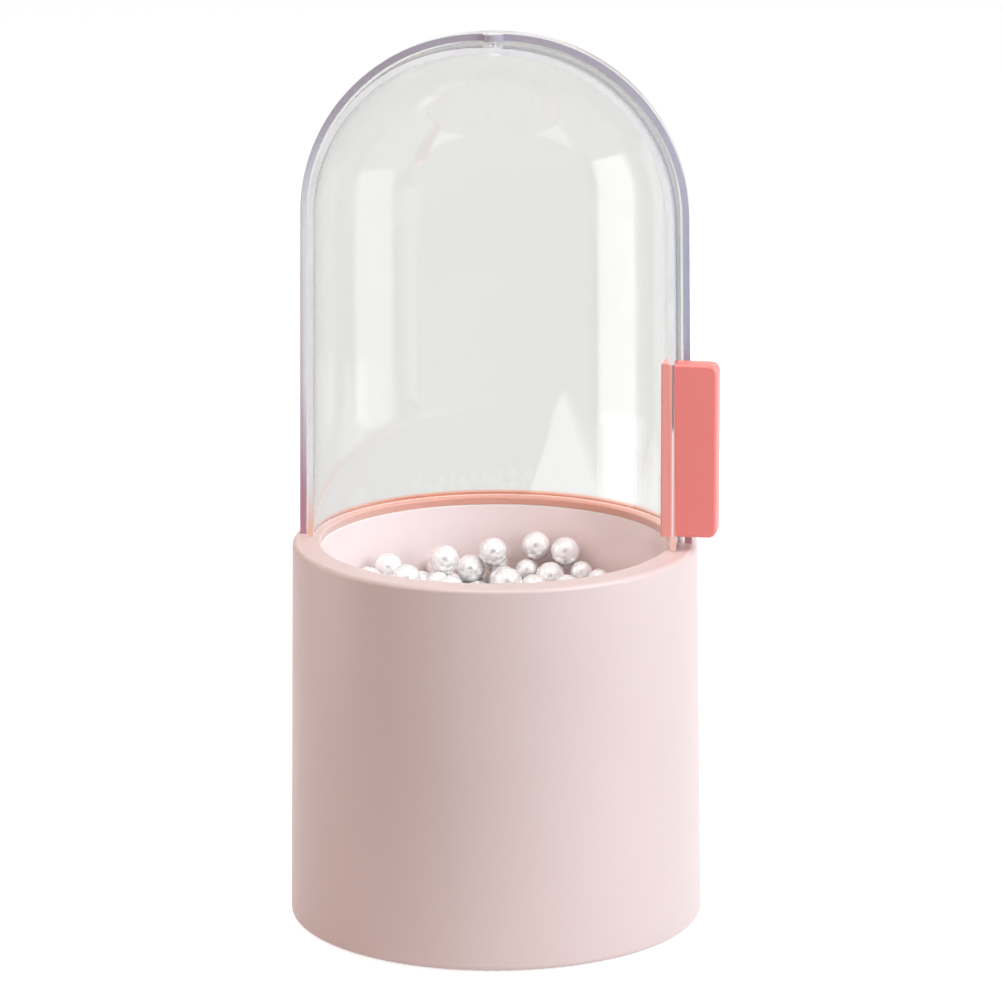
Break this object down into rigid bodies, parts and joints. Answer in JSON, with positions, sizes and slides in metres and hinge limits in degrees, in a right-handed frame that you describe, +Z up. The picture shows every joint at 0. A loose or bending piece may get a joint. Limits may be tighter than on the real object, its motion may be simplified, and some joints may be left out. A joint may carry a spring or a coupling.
{
  "type": "toothbrush storage box",
  "caption": "Round tabletop box for brushes: a tall cup filled with pearls under a clear domed cover, whose front half turns aside by a side handle.",
  "frame": {"origin": "on the floor under the cup's axis, in the middle of the non-slip pad's lower face", "axes": "+Z up along the cup's axis, the open front faces -Y, the door's handle is at +X at rest"},
  "size_m": [0.1146, 0.11, 0.2372],
  "materials": {
    "sleeve_pink": "satin pale pink moulding",
    "cup_pink": "glossy pale pink moulding",
    "pad_foam": "matte non-slip foam rubber",
    "clear_dome": "clear polished plastic, see-through",
    "coral": "semi-gloss coral plastic",
    "clear_pivot": "clear polished plastic",
    "pearl": "pearl-coated plastic beads"
  },
  "bodies": {
    "base": {"outer_sleeve": "sleeve_pink", "inner_cup": "cup_pink", "bottom_plate": "sleeve_pink", "non_slip_pad": "pad_foam", "rear_dome": "clear_dome", "pivot_pin": "clear_pivot", "pivot_cap": "clear_pivot", "pearl_beads": "pearl", "pearl_core": "pearl"},
    "door": {"front_door": "clear_dome", "handle_grip": "coral", "handle_backing": "coral"}
  },
  "joints": [
    {"name": "door_turn", "type": "hinge", "parent": "base", "child": "door", "pos_m": [0, 0, 0.2344], "axis": [0, 0, 1], "range_deg": [-168.8, 3.3]}
  ]
}
